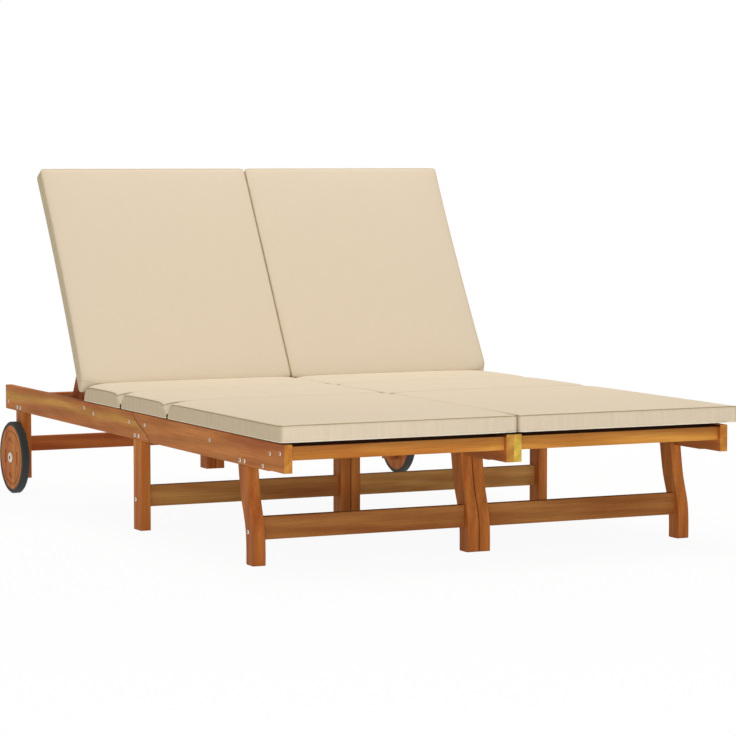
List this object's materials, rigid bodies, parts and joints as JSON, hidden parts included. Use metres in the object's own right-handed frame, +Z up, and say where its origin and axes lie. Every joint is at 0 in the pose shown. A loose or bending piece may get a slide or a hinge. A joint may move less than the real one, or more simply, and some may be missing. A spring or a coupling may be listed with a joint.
{
  "type": "double sun lounger",
  "caption": "Wooden double sun lounger with two slatted reclining backrests on folding props, beige cushions, sabre front legs and wheels at the head end.",
  "frame": {"origin": "on the ground, under the middle of the whole lounger", "axes": "+Y from the foot end to the head end with the wheels, +X across to the right bay as seen from the foot end, +Z up"},
  "size_m": [1.1718, 1.835, 0.8627],
  "materials": {
    "rail_wood": "oiled",
    "leg_wood": "oiled",
    "stretcher_wood": "oiled",
    "crossbar_wood": "oiled",
    "slat_wood": "oiled",
    "hidden_wood": "oiled",
    "dowel_wood": "plain",
    "wheel_wood": "oiled",
    "tyre": "matt",
    "hub_cap": "plated",
    "steel": "zinc plated",
    "cushion_fabric": "woven"
  },
  "bodies": {
    "frame": {"axle_bolts": "steel", "bay_bolts": "steel", "crossbar_dowels": "dowel_wood", "head_crossbars": "crossbar_wood", "hinge_clevises": "steel", "hinge_pins": "steel", "hub_caps": "hub_cap", "leg_bolts": "steel", "prop_racks": "hidden_wood", "seat_end_crossbars": "crossbar_wood", "slat_bearers": "hidden_wood", "stretcher_screws": "steel", "left_outer_front_rail": "rail_wood", "left_outer_rear_rail": "rail_wood", "left_inner_front_rail": "rail_wood", "left_inner_rear_rail": "rail_wood", "left_front_legs": "leg_wood", "left_mid_legs": "leg_wood", "left_wheel_legs": "leg_wood", "left_front_stretcher": "stretcher_wood", "left_mid_stretcher": "stretcher_wood", "left_wheel_stretcher": "stretcher_wood", "left_foot_crossbar": "crossbar_wood", "left_seat_slats": "slat_wood", "left_foot_pad": "cushion_fabric", "left_middle_pad": "cushion_fabric", "left_rear_pad": "cushion_fabric", "right_outer_front_rail": "rail_wood", "right_outer_rear_rail": "rail_wood", "right_inner_front_rail": "rail_wood", "right_inner_rear_rail": "rail_wood", "right_front_legs": "leg_wood", "right_mid_legs": "leg_wood", "right_wheel_legs": "leg_wood", "right_front_stretcher": "stretcher_wood", "right_mid_stretcher": "stretcher_wood", "right_wheel_stretcher": "stretcher_wood", "right_foot_crossbar": "crossbar_wood", "right_seat_slats": "slat_wood", "right_foot_pad": "cushion_fabric", "right_middle_pad": "cushion_fabric", "right_rear_pad": "cushion_fabric"},
    "left_backrest": {"left_back_rails": "rail_wood", "left_back_slats": "slat_wood", "left_prop_pins": "steel"},
    "left_prop": {"left_prop_legs": "leg_wood", "left_prop_bar": "hidden_wood"},
    "left_back_cushion": {"left_back_pad": "cushion_fabric"},
    "left_wheel": {"left_wheel_disc": "wheel_wood", "left_wheel_tyre": "tyre"},
    "right_backrest": {"right_back_rails": "rail_wood", "right_back_slats": "slat_wood", "right_prop_pins": "steel"},
    "right_prop": {"right_prop_legs": "leg_wood", "right_prop_bar": "hidden_wood"},
    "right_back_cushion": {"right_back_pad": "cushion_fabric"},
    "right_wheel": {"right_wheel_disc": "wheel_wood", "right_wheel_tyre": "tyre"}
  },
  "joints": [
    {"name": "left_backrest_hinge", "type": "hinge", "parent": "frame", "child": "left_backrest", "pos_m": [-0.28063, 0.3455, 0.2577], "axis": [1, 0, 0], "range_deg": [-60, 0]},
    {"name": "left_prop_hinge", "type": "hinge", "parent": "left_backrest", "child": "left_prop", "pos_m": [-0.28063, 0.44752, 0.3824], "axis": [1, 0, 0], "range_deg": [0, 120]},
    {"name": "left_cushion_slide", "type": "slide", "parent": "left_backrest", "child": "left_back_cushion", "axis": [0, 0.5, 0.866], "range_m": [-0.052, 0]},
    {"name": "left_wheel_spin", "type": "hinge", "parent": "frame", "child": "left_wheel", "pos_m": [-0.57163, 0.8095, 0.095], "axis": [1, 0, 0], "continuous": true},
    {"name": "right_backrest_hinge", "type": "hinge", "parent": "frame", "child": "right_backrest", "pos_m": [0.27437, 0.3455, 0.2577], "axis": [1, 0, 0], "range_deg": [-60, 0]},
    {"name": "right_prop_hinge", "type": "hinge", "parent": "right_backrest", "child": "right_prop", "pos_m": [0.27437, 0.44752, 0.3824], "axis": [1, 0, 0], "range_deg": [0, 120]},
    {"name": "right_cushion_slide", "type": "slide", "parent": "right_backrest", "child": "right_back_cushion", "axis": [0, 0.5, 0.866], "range_m": [-0.052, 0]},
    {"name": "right_wheel_spin", "type": "hinge", "parent": "frame", "child": "right_wheel", "pos_m": [0.56537, 0.8095, 0.095], "axis": [1, 0, 0], "continuous": true}
  ],
  "couplings": [
    {"joint": "left_prop_hinge", "follows": "left_backrest_hinge", "ratio": -2},
    {"joint": "left_cushion_slide", "follows": "left_backrest_hinge", "m_per_rad": 0.049656},
    {"joint": "right_prop_hinge", "follows": "right_backrest_hinge", "ratio": -2},
    {"joint": "right_cushion_slide", "follows": "right_backrest_hinge", "m_per_rad": 0.049656}
  ]
}
